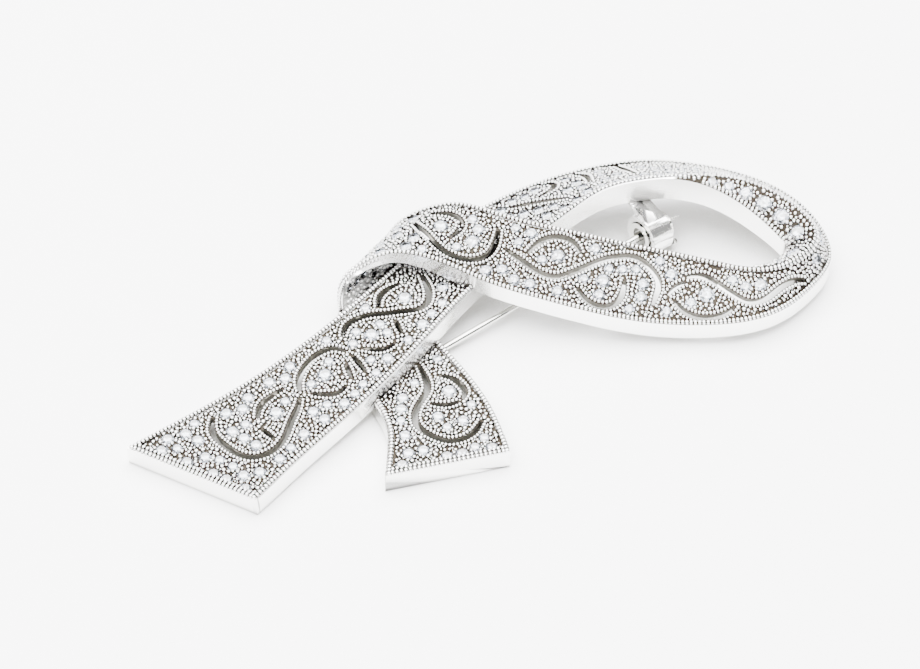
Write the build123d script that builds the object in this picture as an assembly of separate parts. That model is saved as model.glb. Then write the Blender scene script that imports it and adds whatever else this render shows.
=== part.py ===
from build123d import *
import os
import math
import numpy as np

os.makedirs("parts", exist_ok=True)

# Awareness-ribbon brooch in white metal, lying on its back, in millimetres.
# +X runs along the long way of the brooch, +Z is up from the table to the face.

# Driving sizes
RIBBON = 8.0            # width of the ribbon where its two strands cross
WALL = 1.9              # height of the polished side walls
PLATE = 0.85            # thickness of the pierced plate
WALL_THICK = 0.60       # thickness of the side walls
RIM = 0.50              # width of the raised edge rim
LIP = 0.16              # height of the rim above the paved field
EDGE_BEVEL = 0.12       # narrowest slope between top rim and inner wall
SLOT = 0.56             # width of the pierced scrolls
STONE = 1.26            # girdle diameter of the common melee stone
EYE_STONE = 1.50        # girdle diameter of the stone in the eye of each scroll
STEM = 0.66             # diameter of the pin wire
SEAT_GAP = 0.03         # clearance between a stone and its seat
STONE_GAP = 0.13        # clearance between neighbouring stones
SMALL_GAP = 0.19        # clearance round the smaller stones that fill in
SMALL_STONE = 0.85      # their girdle as a share of the common stone
FIELD_EDGE = 0.12       # metal left between a stone and the raised rim
BAND_GAP = 0.55         # clearance between the stones inside the turn
BAND_LIFT = 0.07        # height of their girdles over the slope they stand on
SEAT_RISE = 0.06        # reach of a seat above the girdle
BAND_RISE = 0.14        # reach of the seats inside the turn, where the slope is hollow
SCROLL_EDGE = 0.24      # metal left between a stone and a pierced scroll
TURN_GAP = 0.08         # clearance of the turning parts
RIVET = 0.44            # diameter of the hinge rivet
# Shift that puts the middle of the underside at the origin
TO_ORIGIN = (-2.77, 1.24, 0.062)

# Ribbon stations: the middle of the top face and the width, all as shares of RIBBON.
# bank and skew in degrees, the walls as shares of WALL, the stone band as a share of RIBBON.
# x, y, z, width, bank, skew, inner_wall, outer_wall, band
STRIP = [
    (-3.00, -2.44, 0.25, 1.68, 0, 20, 1.05, 1.05, 0.00),
    (-2.33, -1.83, 0.29, 1.36, 0, 9, 1.00, 1.00, 0.00),
    (-1.70, -1.24, 0.36, 1.20, 0, 4, 1.00, 1.00, 0.00),
    (-1.09, -0.60, 0.46, 1.09, 0, 0, 1.00, 1.00, 0.00),
    (-0.50, 0.18, 0.51, 1.00, 2, 0, 1.00, 0.95, 0.00),
    (0.12, 0.95, 0.51, 0.98, 6, 0, 1.00, 0.95, 0.00),
    (0.85, 1.53, 0.61, 0.96, 14, 0, 1.05, 0.95, 0.00),
    (1.53, 1.93, 0.69, 0.93, 25, 0, 1.25, 0.95, 0.00),
    (2.20, 2.08, 0.74, 0.87, 27, 0, 1.35, 0.95, 0.00),
    (2.85, 2.10, 0.72, 0.94, 33, 0, 1.35, 0.90, 0.08),
    (3.63, 1.88, 0.69, 0.80, 40, 0, 1.25, 0.85, 0.29),
    (4.17, 1.42, 0.59, 0.59, 50, 0, 1.10, 0.80, 0.39),
    (4.32, 0.98, 0.51, 0.44, 60, 0, 1.05, 0.80, 0.40),
    (4.03, 0.54, 0.46, 0.43, 43, 0, 1.05, 0.85, 0.26),
    (3.48, 0.23, 0.47, 0.65, 25, 0, 1.05, 0.85, 0.02),
    (2.71, 0.24, 0.49, 0.88, 24, 0, 1.05, 0.90, 0.00),
    (2.00, 0.34, 0.54, 1.03, 16, 0, 1.05, 0.90, 0.00),
    (1.26, 0.48, 0.64, 1.05, 13, 0, 1.05, 0.90, 0.00),
    (0.40, 0.68, 0.78, 1.01, 9, -4, 1.05, 0.90, 0.00),
    (-0.09, 0.86, 0.85, 1.01, 3, -4, 1.00, 0.85, 0.00),
    (-0.44, 0.94, 0.84, 1.03, 0, -12, 0.95, 0.60, 0.00),
    (-0.81, 0.91, 0.73, 1.05, 0, -14, 0.80, 0.42, 0.00),
    (-1.09, 0.80, 0.53, 1.08, 0, -14, 0.70, 0.32, 0.00),
    (-1.14, 0.70, 0.30, 1.08, 0, -14, 0.70, 0.30, 0.00),
    (-1.11, 0.64, 0.05, 1.08, 0, -14, 0.70, 0.30, 0.00),
]
TAIL = [
    (-1.08, 0.66, 0.20, 1.12, 0, 41, 0.70, 0.70, 0.00),
    (-0.99, 0.20, 0.21, 1.02, 0, 20, 0.75, 0.75, 0.00),
    (-0.86, -0.30, 0.24, 1.05, 0, 2, 0.80, 0.80, 0.00),
    (-0.53, -0.95, 0.25, 1.13, 0, 0, 0.95, 0.95, 0.00),
    (-0.24, -1.58, 0.255, 1.23, 0, 6, 1.02, 1.02, 0.00),
    (-0.13, -2.29, 0.25, 1.44, 0, 10, 1.04, 1.04, 0.00),
]
CURL_AT = 19            # station from which the ribbon curls over on itself
CURL_HEADING = 160.0    # heading of the ribbon where it curls over, degrees
SPLIT_AT = 16.5         # station between the lower and the upper length of strip

# Pierced scrolls: station along the strip, place across it (-1 outer edge, +1 inner edge)
STRIP_SLOTS = [
    [(0.88, -0.70), (0.70, -0.44), (0.62, -0.10), (0.60, 0.15), (0.65, 0.38), (0.78, 0.50),
     (1.00, 0.54), (1.23, 0.45), (1.46, 0.28), (1.66, 0.14), (1.78, 0.02)],
    [(1.77, -0.40), (1.57, -0.42), (1.36, -0.35), (1.22, -0.20)],
    [(1.10, 0.08), (1.08, 0.33)],
    [(1.90, -0.14), (2.00, -0.32), (2.20, -0.50), (2.38, -0.57), (2.52, -0.56), (2.67, -0.45),
     (2.74, -0.20)],
    [(2.74, 0.02), (2.72, 0.15), (2.66, 0.46)],
    [(1.96, 0.10), (2.08, 0.33), (2.18, 0.45), (2.32, 0.45)],
    [(2.58, 0.08), (2.48, 0.36)],
    [(2.92, -0.52), (3.09, -0.66), (3.26, -0.60), (3.41, -0.42), (3.52, -0.19), (3.64, 0.03),
     (3.75, 0.26), (3.88, 0.38), (4.02, 0.30), (4.17, 0.04), (4.28, -0.28)],
    [(3.56, -0.48), (3.67, -0.62), (3.84, -0.66), (4.00, -0.56)],
    [(2.92, 0.05), (2.99, 0.25), (3.08, 0.43), (3.20, 0.50)],
    [(3.49, 0.10), (3.38, 0.42)],
    [(5.86, -0.45), (6.06, -0.24), (6.31, 0.05), (6.54, 0.41)],
    [(6.50, -0.78), (6.60, -0.70), (6.59, -0.48), (6.45, -0.34), (6.30, -0.31)],
    [(6.97, -0.78), (7.05, -0.60), (7.06, -0.03)],
    [(7.64, -0.72), (7.84, 0.10)],
    [(8.30, -0.70), (8.64, -0.74)],
    [(9.20, -0.40), (9.50, 0.15), (9.95, 0.35), (10.40, 0.15), (10.80, -0.25), (11.15, -0.30)],
    [(12.98, -0.40), (13.10, -0.16), (13.30, -0.03), (13.54, -0.10), (13.77, -0.26),
     (13.97, -0.34), (14.19, -0.25), (14.35, -0.02), (14.52, 0.20), (14.70, 0.40),
     (14.89, 0.47), (15.09, 0.37)],
    [(14.37, -0.46), (14.50, -0.66), (14.67, -0.76), (14.89, -0.73), (15.09, -0.58),
     (15.24, -0.33)],
    [(15.36, -0.18), (15.26, 0.04), (15.11, 0.22)],
    [(17.84, 0.05), (17.56, -0.15), (17.33, -0.30), (17.10, -0.30), (16.93, -0.12),
     (16.74, 0.12), (16.48, 0.43), (16.21, 0.62), (15.93, 0.65), (15.78, 0.53), (15.62, 0.33),
     (15.53, 0.05), (15.55, -0.27), (15.58, -0.50)],
    [(17.55, 0.14), (17.47, 0.43), (17.33, 0.68), (17.16, 0.76), (16.98, 0.68), (16.86, 0.47)],
    [(16.76, -0.47), (16.60, -0.70), (16.39, -0.78), (16.21, -0.70), (16.09, -0.38),
     (16.09, 0.00)],
    [(20.50, 0.30), (20.10, 0.02), (19.58, -0.30), (18.99, -0.60), (18.60, -0.66),
     (18.29, -0.55), (18.06, -0.30), (18.01, 0.07), (18.10, 0.50)],
    [(20.20, 0.62), (19.76, 0.60), (19.28, 0.55), (18.92, 0.35), (18.89, 0.12), (18.97, -0.15)],
]
TAIL_SLOTS = [
    [(2.80, -0.27), (3.10, -0.20), (3.32, -0.10), (3.49, 0.12), (3.72, 0.38), (4.02, 0.43),
     (4.27, 0.28), (4.42, 0.12), (4.53, -0.07), (4.54, -0.30), (4.46, -0.52), (4.28, -0.72)],
    [(3.15, -0.47), (3.31, -0.66), (3.48, -0.72), (3.69, -0.70), (3.77, -0.60)],
    [(3.66, 0.00), (3.80, -0.28), (3.81, -0.48)],
]
# Stones in the eyes of the scrolls: station, place across
STRIP_EYES = [
    (1.43, -0.05), (2.29, -0.07), (3.15, -0.07), (3.86, -0.16), (14.76, -0.07), (16.41, -0.12),
    (17.15, 0.25), (18.49, -0.05), (19.50, 0.15),
]
TAIL_EYES = [(3.53, -0.45)]
# Places on the strip left as plain metal between the stones: station, place across
PLAIN = [(1.00, -0.30)]


def spline(knots, rows, where):
    """Natural cubic through the rows, and its slope, at each place."""
    n = len(knots)
    h = np.diff(knots)
    a = np.zeros((n, n))
    b = np.zeros((n, rows.shape[1]))
    a[0, 0] = 1.0
    a[-1, -1] = 1.0
    for i in range(1, n - 1):
        a[i, i - 1] = h[i - 1]
        a[i, i] = 2 * (h[i - 1] + h[i])
        a[i, i + 1] = h[i]
        b[i] = 6 * ((rows[i + 1] - rows[i]) / h[i] - (rows[i] - rows[i - 1]) / h[i - 1])
    m = np.linalg.solve(a, b)
    k = min(max(int(np.searchsorted(knots, where, side="right")) - 1, 0), n - 2)
    d = where - knots[k]
    c1 = (rows[k + 1] - rows[k]) / h[k] - h[k] * (2 * m[k] + m[k + 1]) / 6
    c3 = (m[k + 1] - m[k]) / (6 * h[k])
    value = rows[k] + c1 * d + m[k] / 2 * d ** 2 + c3 * d ** 3
    slope = c1 + m[k] * d + 3 * c3 * d ** 2
    return value, slope


class Strip:
    """A length of ribbon given by stations."""

    def __init__(self, table, curl_at=None):
        scale = np.array([RIBBON, RIBBON, RIBBON, RIBBON, 1, 1, WALL, WALL, RIBBON])
        self.rows = np.array(table, float) * scale
        self.rows[:, :3] += np.array(TO_ORIGIN)
        steps = np.linalg.norm(np.diff(self.rows[:, :3], axis=0), axis=1)
        self.knots = np.concatenate([[0], np.cumsum(steps)])
        self.curl_at = curl_at

    def length_at(self, station):
        return float(np.interp(station, np.arange(len(self.knots)), self.knots))

    def frame(self, station):
        """Middle, right, up, across, face normal, width and the other columns."""
        row, slope = spline(self.knots, self.rows, self.length_at(station))
        travel = slope[:3] / np.linalg.norm(slope[:3])
        heading = math.degrees(math.atan2(travel[1], travel[0]))
        if self.curl_at is not None and station > self.curl_at:
            heading = CURL_HEADING
        turn = math.radians(heading - 90 + row[5])
        right = np.array([math.cos(turn), math.sin(turn), 0.0])
        up = np.cross(right, travel)
        up /= np.linalg.norm(up)
        bank = math.radians(row[4])
        across = math.cos(bank) * right + math.sin(bank) * up
        normal = -math.sin(bank) * right + math.cos(bank) * up
        return row[:3], right, up, across, normal, row

    def point(self, station, place, lift=0.0):
        mid, right, up, across, normal, row = self.frame(station)
        return mid + place * row[3] / 2 * across + (lift - LIP) * normal

    def plate(self, row):
        """Thickness of the plate, less where the walls run out."""
        return min(PLATE, 0.92 * row[6], 0.92 * row[7])

    def outline(self, station):
        mid, right, up, across, normal, row = self.frame(station)
        half = row[3] / 2
        inner = mid + half * across
        outer = mid - half * across
        band = max(row[8], EDGE_BEVEL)
        slope = math.radians(35)
        foot = inner + band * (math.cos(slope) * right - math.sin(slope) * up)
        plate = self.plate(row)
        return [
            outer,
            outer + RIM * across,
            outer + RIM * across - LIP * normal,
            inner - RIM * across - LIP * normal,
            inner - RIM * across,
            inner,
            foot,
            foot - row[6] * up,
            foot - row[6] * up - WALL_THICK * right,
            foot - WALL_THICK * right - 0.90 * plate * up,
            inner - WALL_THICK * across - plate * normal,
            outer + WALL_THICK * across - plate * normal,
            outer - row[7] * up + WALL_THICK * right,
            outer - row[7] * up,
        ]

    def body(self, first, last, count):
        wires = []
        for station in np.linspace(first, last, count):
            corners = [Vector(*p) for p in self.outline(station)]
            wires.append(Wire.make_polygon(corners, close=True))
        return Solid.make_loft(wires)


def slot_tool(strip, places, depth):
    """A scroll-shaped cutter standing square to the ribbon at its middle."""
    pts = np.array([strip.point(k, t) for k, t in places])
    steps = np.linalg.norm(np.diff(pts, axis=0), axis=1)
    knots = np.concatenate([[0], np.cumsum(steps)])
    middle = places[len(places) // 2]
    normals = [strip.frame(k)[4] for k, t in places]
    normal = np.mean(normals, axis=0)
    normal /= np.linalg.norm(normal)
    base = strip.point(*middle)
    count = max(4, int(knots[-1] / 1.1))
    left = []
    right = []
    for s in np.linspace(0, knots[-1], count):
        p, slope = spline(knots, pts, s)
        side = np.cross(normal, slope)
        side /= np.linalg.norm(side)
        share = min(s, knots[-1] - s) / 1.6
        half = SLOT / 2 * (0.55 + 0.45 * min(1.0, share))
        p = p - np.dot(p - base, normal) * normal
        left.append(Vector(*(p + half * side)))
        right.append(Vector(*(p - half * side)))
    edges = [
        Edge.make_spline(left),
        Edge.make_line(left[-1], right[-1]),
        Edge.make_spline(right),
        Edge.make_line(right[0], left[0]),
    ]
    face = Face(Wire(edges))
    up = Vector(*normal)
    face = face.moved(Location(up * 1.3))
    return Solid.extrude(face, up * (-1.3 - depth))


def end_wall(table_strip, at, other):
    """The wall that closes the end of a tail, between two stations."""
    wires = []
    for station in (at, other):
        c = table_strip.outline(station)
        mid, right, up, across, normal, row = table_strip.frame(station)
        corners = [c[0] + 0.02 * across, c[5] - 0.02 * across, c[7] - 0.02 * right, c[13] + 0.02 * right]
        wires.append(Wire.make_polygon([Vector(*p) for p in corners], close=True))
    return Solid.make_loft(wires, ruled=True)


# Round cut stone of unit girdle diameter: table, eight crown and eight pavilion facets
CROWN = 0.17            # height of the crown as a share of the girdle
PAVILION = 0.43         # depth of the pavilion as a share of the girdle
TABLE = 0.58            # width of the table as a share of the girdle


def cut_stone(diameter):
    r = diameter / 2
    girdle = []
    top = []
    for i in range(8):
        a = math.radians(45 * i)
        b = math.radians(45 * i + 22.5)
        girdle.append(Vector(r * math.cos(a), r * math.sin(a), 0))
        top.append(Vector(TABLE * r * math.cos(b), TABLE * r * math.sin(b), CROWN * diameter))
    culet = Vector(0, 0, -PAVILION * diameter)
    faces = [Face(Wire.make_polygon(top, close=True))]
    for i in range(8):
        j = (i + 1) % 8
        corners = [girdle[i], girdle[j], top[i]]
        faces.append(Face(Wire.make_polygon(corners, close=True)))
        corners = [girdle[j], top[j], top[i]]
        faces.append(Face(Wire.make_polygon(corners, close=True)))
        corners = [girdle[j], girdle[i], culet]
        faces.append(Face(Wire.make_polygon(corners, close=True)))
    return Solid(Shell(faces))


def stand(place, across, normal):
    """Location with its Z along the face normal."""
    return Location(Plane(origin=Vector(*place), x_dir=Vector(*across), z_dir=Vector(*normal)))


def slot_line(table_strip, places):
    pts = np.array([table_strip.point(k, t) for k, t in places])
    steps = np.linalg.norm(np.diff(pts, axis=0), axis=1)
    knots = np.concatenate([[0], np.cumsum(steps)])
    marks = np.linspace(0, knots[-1], int(knots[-1] / 0.3) + 2)
    return np.array([spline(knots, pts, s)[0] for s in marks])


def cover_line(table_strip, first, last):
    """Middle line and half width of a length of strip that lies over another."""
    rows = []
    for k in np.linspace(first, last, 60):
        mid, right, up, across, normal, row = table_strip.frame(k)
        rows.append((mid, across, row[3] / 2))
    return rows


def covered(place, cover, margin):
    best = min(cover, key=lambda c: np.hypot(*(place[:2] - c[0][:2])))
    mid, across, half = best
    return abs(np.dot(place[:2] - mid[:2], across[:2])) < half + margin


def fill(table_strip, first, last, sizes, lines, taken,
         cover=None, margin=0.9, plain=(), bare_to=0.0):
    """Rows of stones over a length of strip, kept clear of scrolls, rims and one another."""
    found = []
    bare = [table_strip.point(k, t) for k, t in plain]
    for size, close, gap in sizes:
        pitch = size + STONE_GAP
        start = table_strip.length_at(first)
        end = table_strip.length_at(last)
        rows = int((end - start) / (close * 0.88 * pitch))
        stations = np.arange(len(table_strip.knots))
        for i in range(rows + 1):
            length = start + (end - start) * i / rows
            k = float(np.interp(length, table_strip.knots, stations))
            if k < bare_to:
                continue
            half = table_strip.frame(k)[5][3] / 2
            room = half - RIM - size / 2 - FIELD_EDGE
            count = int(room / (close * pitch)) + 1
            for j in range(-count, count + 1):
                offset = (j + 0.5 * (i % 2)) * close * pitch
                if abs(offset) > room:
                    continue
                p = table_strip.point(k, offset / half)
                keep = size / 2 + SLOT / 2 + SCROLL_EDGE
                if any(np.linalg.norm(line - p, axis=1).min() < keep for line in lines):
                    continue
                if any(np.linalg.norm(q - p) < (size + d) / 2 + gap for q, d in taken):
                    continue
                if any(np.linalg.norm(q - p) < 0.4 for q in bare):
                    continue
                if cover is not None and covered(p, cover, margin):
                    continue
                mid, right, up, across, normal, row = table_strip.frame(k)
                taken.append((p, size))
                found.append((p, size, across, normal))
    return found


def eyes(table_strip, places, size, taken):
    found = []
    for k, t in places:
        p = table_strip.point(k, t)
        mid, right, up, across, normal, row = table_strip.frame(k)
        taken.append((p, size))
        found.append((p, size, across, normal))
    return found


def band_row(table_strip, first, last, taken):
    """One row of stones down the slope inside the turn."""
    found = []
    slope = math.radians(35)
    length = table_strip.length_at(first)
    stations = np.arange(len(table_strip.knots))
    while length < table_strip.length_at(last):
        k = float(np.interp(length, table_strip.knots, stations))
        mid, right, up, across, normal, row = table_strip.frame(k)
        length += 0.15
        if row[8] < 1.15:
            continue
        size = EYE_STONE if row[8] > 2.3 else STONE if row[8] > 1.75 else 0.8 * STONE
        way = math.cos(slope) * right - math.sin(slope) * up
        out = math.sin(slope) * right + math.cos(slope) * up
        p = mid + row[3] / 2 * across + row[8] * 0.5 * way + BAND_LIFT * out
        if any(np.linalg.norm(q - p) < (size + d) / 2 + STONE_GAP for q, d in taken):
            continue
        if found and np.linalg.norm(found[-1][0] - p) < (size + found[-1][1]) / 2 + BAND_GAP:
            continue
        taken.append((p, size))
        found.append((p, size, way, out))
    return found


def lining(table_strip, places, size, taken):
    """Stones on the hollow side of the fold, facing inwards."""
    found = []
    for k, t in places:
        mid, right, up, across, normal, row = table_strip.frame(k)
        p = mid + t * row[3] / 2 * across - (table_strip.plate(row) - 0.06) * normal
        if any(np.linalg.norm(q - p) < (size + d) / 2 + 0.03 for q, d in taken):
            continue
        taken.append((p, size))
        found.append((p, size, across, -normal))
    return found


def seat(stone, rise=SEAT_RISE):
    p, size, across, normal = stone
    depth = PAVILION * size + 0.08
    cone = Solid.make_cone(0.10, size / 2 + SEAT_GAP + rise, depth + rise)
    return cone.moved(stand(p - depth * normal, across, normal))


def stones_node(label, stones):
    blanks = {}
    solids = []
    for p, size, across, normal in stones:
        if size not in blanks:
            blanks[size] = cut_stone(size)
        solids.append(blanks[size].moved(stand(p, across, normal)))
    part = Compound(solids)
    part.label = label
    export_step(part, "parts/" + label + ".step")
    return len(solids)


strip = Strip(STRIP, CURL_AT)
tail = Strip(TAIL)

# The ribbon in three lengths, each a hollow-backed channel
ribbon = strip.body(0.06, SPLIT_AT, 43)
ribbon = ribbon.fuse(strip.body(SPLIT_AT, len(STRIP) - 1, 24))
ribbon = ribbon.fuse(tail.body(0, len(TAIL) - 1.06, 15))
ribbon = ribbon.fuse(end_wall(strip, 0, 0.10), end_wall(tail, len(TAIL) - 1, len(TAIL) - 1.12))

# Pin line: along runs from the hinge to the catch, side is square to it
PIN_ANGLE = 36.2        # direction of the pin stem seen from above, degrees
HINGE = np.array([-4.80, -5.00, 0.55]) + np.array(TO_ORIGIN)
CATCH_AT = 28.76        # distance from hinge to the middle of the catch
CATCH_HIGH = 2.20       # height of the catch axis over the table
along = np.array([math.cos(math.radians(PIN_ANGLE)), math.sin(math.radians(PIN_ANGLE)), 0.0])
side = np.array([-along[1], along[0], 0.0])
catch = HINGE + CATCH_AT * along
catch[2] = CATCH_HIGH


def pin_plane(place, z_dir):
    return Plane(origin=Vector(*place), x_dir=Vector(0, 0, 1), z_dir=Vector(*z_dir))


def pin_box(a0, a1, s0, s1, z0, z1, base):
    """A block laid along the pin line, measured from a base point; heights from the table."""
    middle = base + (a0 + a1) / 2 * along + (s0 + s1) / 2 * side
    spot = Plane(origin=Vector(middle[0], middle[1], (z0 + z1) / 2), x_dir=Vector(*along), z_dir=(0, 0, 1))
    return Solid.make_box(a1 - a0, s1 - s0, z1 - z0).moved(
        Location(spot) * Location((-(a1 - a0) / 2, -(s1 - s0) / 2, -(z1 - z0) / 2)))


def ring(outer, inner, a0, a1, base):
    spot = Location(pin_plane(base + a0 * along, along))
    tube = Solid.make_cylinder(outer, a1 - a0)
    tube = tube.cut(Solid.make_cylinder(inner, a1 - a0 + 1).moved(Location((0, 0, -0.5))))
    return tube.moved(spot)


# Hinge ears and the room for the stem under the back tail
KNUCKLE = 0.50          # radius of the knuckle of the stem
EAR = 0.50              # thickness of each ear
EAR_SPLIT = 1.10        # clear width between the ears
ears = []
for s in (-1, 1):
    near = s * EAR_SPLIT / 2
    far = s * (EAR_SPLIT / 2 + EAR)
    ears.append(pin_box(-0.65, 0.65, min(near, far), max(near, far), 0.10, 1.75, HINGE))
room = [
    pin_box(-0.75, 0.75, -EAR_SPLIT / 2, EAR_SPLIT / 2, -1.0, HINGE[2] + KNUCKLE + 0.10, HINGE),
    pin_box(0.40, 7.00, -EAR_SPLIT / 2, EAR_SPLIT / 2, -1.0, 1.50, HINGE),
]
rivet_hole = Solid.make_cylinder(RIVET / 2 + 0.02, 2.6).moved(
    Location(Plane(origin=Vector(*(HINGE - 1.3 * side)), x_dir=(0, 0, 1), z_dir=Vector(*side))))

# Catch housing: a C-shaped cheek on a post under the far strand
HOUSE_OUT = 2.12        # outer radius of the housing
HOUSE_IN = 1.52         # inner radius of the housing
HOUSE_HALF = 1.15       # half of its length along the pin
MOUTH = 1.24            # width of the mouth that lets the stem through
housing = ring(HOUSE_OUT, HOUSE_IN, -HOUSE_HALF, HOUSE_HALF, catch)
housing = housing.cut(pin_box(-2, 2, -MOUTH / 2, MOUTH / 2, -1.0, CATCH_HIGH, catch))
post_line = [(-1.00, 3.85), (1.00, 3.95), (2.95, 4.95), (2.95, 5.60), (2.60, 5.60), (2.50, 5.00),
             (1.50, 4.80), (-0.70, 4.30)]
post_foot = catch - 1.0 * along
corners = [Vector(*(post_foot + h * side + np.array([0, 0, z - CATCH_HIGH]))) for h, z in post_line]
post = Solid.extrude(Face(Wire.make_polygon(corners, close=True)), Vector(*along) * 2.0)
ribbon = ribbon.fuse(*ears, housing, post)

# Stones: eyes first, then the common size, then the small ones between
strip_lines = [slot_line(strip, places) for places in STRIP_SLOTS]
tail_lines = [slot_line(tail, places) for places in TAIL_SLOTS]
taken = []
strip_eyes = eyes(strip, STRIP_EYES, EYE_STONE, taken)
tail_eyes = eyes(tail, TAIL_EYES, EYE_STONE, taken)
over_knot = cover_line(strip, 17.0, 21.0)
over_tail = cover_line(strip, 0.0, 5.5)
# girdle, row spacing as a share of the pitch, clearance
SIZES = [(STONE, 1.0, STONE_GAP), (SMALL_STONE * STONE, 0.4, SMALL_GAP)]
UNDER_FOLD = 1.0        # station where the tail comes out from under the fold
LINING = [(22.60, t) for t in (-0.75, -0.48, -0.21, 0.06, 0.33)]
LINING += [(23.10, t) for t in (-0.62, -0.35, -0.08, 0.19)]
front = fill(strip, 0.16, 4.9, SIZES, strip_lines, taken, over_knot, 0.3, plain=PLAIN)
far = fill(strip, 5.2, 9.2, SIZES, strip_lines, taken, over_knot)
turn = fill(strip, 9.4, 13.0, SIZES[:1], strip_lines, taken)
near = fill(strip, 13.1, 17.4, SIZES, strip_lines, taken)
fold = fill(strip, 17.6, 22.2, SIZES, strip_lines, taken)
back = fill(tail, 0.5, 4.82, SIZES, tail_lines, taken, over_tail, bare_to=UNDER_FOLD)
inner = band_row(strip, 9.3, 13.6, taken)
fold += lining(strip, LINING, 0.80 * STONE, taken)
front += strip_eyes[:4]
near += strip_eyes[4:7]
fold += strip_eyes[7:]
back += tail_eyes

tools = [slot_tool(strip, places, PLATE + 0.25) for places in STRIP_SLOTS]
tools += [slot_tool(tail, places, PLATE + 0.35) for places in TAIL_SLOTS]
tools += [seat(stone) for stone in front + far + turn + near + fold + back]
tools += [seat(stone, BAND_RISE) for stone in inner]
ribbon = ribbon.cut(*tools)
ribbon = ribbon.cut(*room, rivet_hole)
if isinstance(ribbon, (ShapeList, Compound)):
    ribbon = max(ribbon.solids(), key=lambda lump: lump.volume)
ribbon.label = "ribbon"
export_step(ribbon, "parts/ribbon.step")

stones_node("stones_front_tail", front)
stones_node("stones_far_strand", far + turn)
stones_node("stones_near_strand", near)
stones_node("stones_fold", fold)
stones_node("stones_back_tail", back)
stones_node("stones_inner_band", inner)

# Pin stem: knuckle, wire with a slight bow, pointed end
STEM_LINE = [(0.0, 0.00), (4.2, 0.26), (14.0, 0.97), (24.0, 1.54), (28.8, 1.66), (29.9, 1.69)]
stem_points = [Vector(*(HINGE + a * along + np.array([0, 0, z]))) for a, z in STEM_LINE]
path = Edge.make_spline(stem_points)
start = Plane(origin=path @ 0, z_dir=path % 0)
wire = Solid.sweep(Face(Wire.make_circle(STEM / 2, start)), path)
tip_dir = path % 1
tip = Solid.make_cone(STEM / 2, 0.06, 2.4).moved(Location(Plane(origin=path @ 1, z_dir=tip_dir)))
knuckle_spot = Location(Plane(origin=Vector(*(HINGE - (EAR_SPLIT / 2 - TURN_GAP) * side)),
                              x_dir=(0, 0, 1), z_dir=Vector(*side)))
knuckle = Solid.make_cylinder(KNUCKLE, EAR_SPLIT - 2 * TURN_GAP).moved(knuckle_spot)
bore = Solid.make_cylinder(RIVET / 2 + 0.05, EAR_SPLIT).moved(knuckle_spot)
stem = wire.fuse(tip, knuckle).cut(bore)
stem.label = "pin_stem"
export_step(stem, "parts/pin_stem.step")

rivet = Solid.make_cylinder(RIVET / 2, 2.1).moved(
    Location(Plane(origin=Vector(*(HINGE - 1.05 * side)), x_dir=(0, 0, 1), z_dir=Vector(*side))))
rivet.label = "hinge_rivet"
export_step(rivet, "parts/hinge_rivet.step")

# Catch roller: C-shaped tube turning in the housing, with a thumb tab
ROLL_OUT = HOUSE_IN - TURN_GAP
ROLL_IN = 0.92
TAB = 2.08              # reach of the thumb tab from the axis
roller = ring(ROLL_OUT, ROLL_IN, -1.35, 1.75, catch)
roller = roller.cut(pin_box(-2, 2.5, -MOUTH / 2, MOUTH / 2, -1.0, CATCH_HIGH, catch))
tab_spot = Location(pin_plane(catch + 1.27 * along, along))
tab = Solid.make_box(TAB - 1.1, 1.10, 0.48).moved(
    tab_spot * Location((0, 0, 0), (0, 0, 135)) * Location((1.1, -0.55, 0)))
curl = Solid.make_cylinder(0.26, 1.10).moved(
    tab_spot * Location((0, 0, 0), (0, 0, 135)) * Location((TAB - 0.2, -0.55, 0.48), (-90, 0, 0)))
roller = roller.fuse(tab, curl)
roller.label = "catch_roller"
export_step(roller, "parts/catch_roller.step")
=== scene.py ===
import bpy
import math
import numpy as np
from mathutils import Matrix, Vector
from mathutils.kdtree import KDTree


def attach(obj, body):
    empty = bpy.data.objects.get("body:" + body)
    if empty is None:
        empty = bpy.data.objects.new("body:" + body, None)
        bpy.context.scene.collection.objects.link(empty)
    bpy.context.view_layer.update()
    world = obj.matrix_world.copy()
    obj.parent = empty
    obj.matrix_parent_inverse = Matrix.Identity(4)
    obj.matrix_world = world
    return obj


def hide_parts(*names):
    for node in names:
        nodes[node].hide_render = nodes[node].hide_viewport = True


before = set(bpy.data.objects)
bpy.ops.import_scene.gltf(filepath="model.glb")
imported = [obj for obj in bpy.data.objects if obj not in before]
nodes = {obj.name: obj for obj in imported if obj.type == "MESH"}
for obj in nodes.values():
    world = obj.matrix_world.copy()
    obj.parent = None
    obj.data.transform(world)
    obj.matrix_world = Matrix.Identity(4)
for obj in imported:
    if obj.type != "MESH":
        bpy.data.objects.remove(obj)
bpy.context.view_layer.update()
MM = 0.001

# Studio
# A jeweller's white table: pale matt paper, painted grey as painted shade where the brooch stands
# close over it, a large soft box overhead, a low one in front, a dim white room, a long lens
# looking down.
LOOK_AT = Vector((-2.77, 1.24, 0.06)) * MM
BACK_OFF = 270 * MM
LOOK_DOWN = math.radians(45)
PAPER = (0.96, 0.96, 0.96, 1)
SHADED_PAPER = (0.42, 0.41, 0.37, 1)
SHADE_REACH = 12 * MM
PAPER_LEVEL = -0.02 * MM
camera_data = bpy.data.cameras.new("camera")
camera_data.lens = 112.0
camera_data.sensor_width = 36.0
camera_data.clip_start = 0.01
camera_data.clip_end = 20.0
camera = bpy.data.objects.new("camera", camera_data)
bpy.context.scene.collection.objects.link(camera)
camera.location = LOOK_AT + BACK_OFF * Vector((0, -math.cos(LOOK_DOWN), math.sin(LOOK_DOWN)))
camera.rotation_euler = (math.pi / 2 - LOOK_DOWN, 0, 0)
bpy.context.scene.camera = camera

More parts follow.
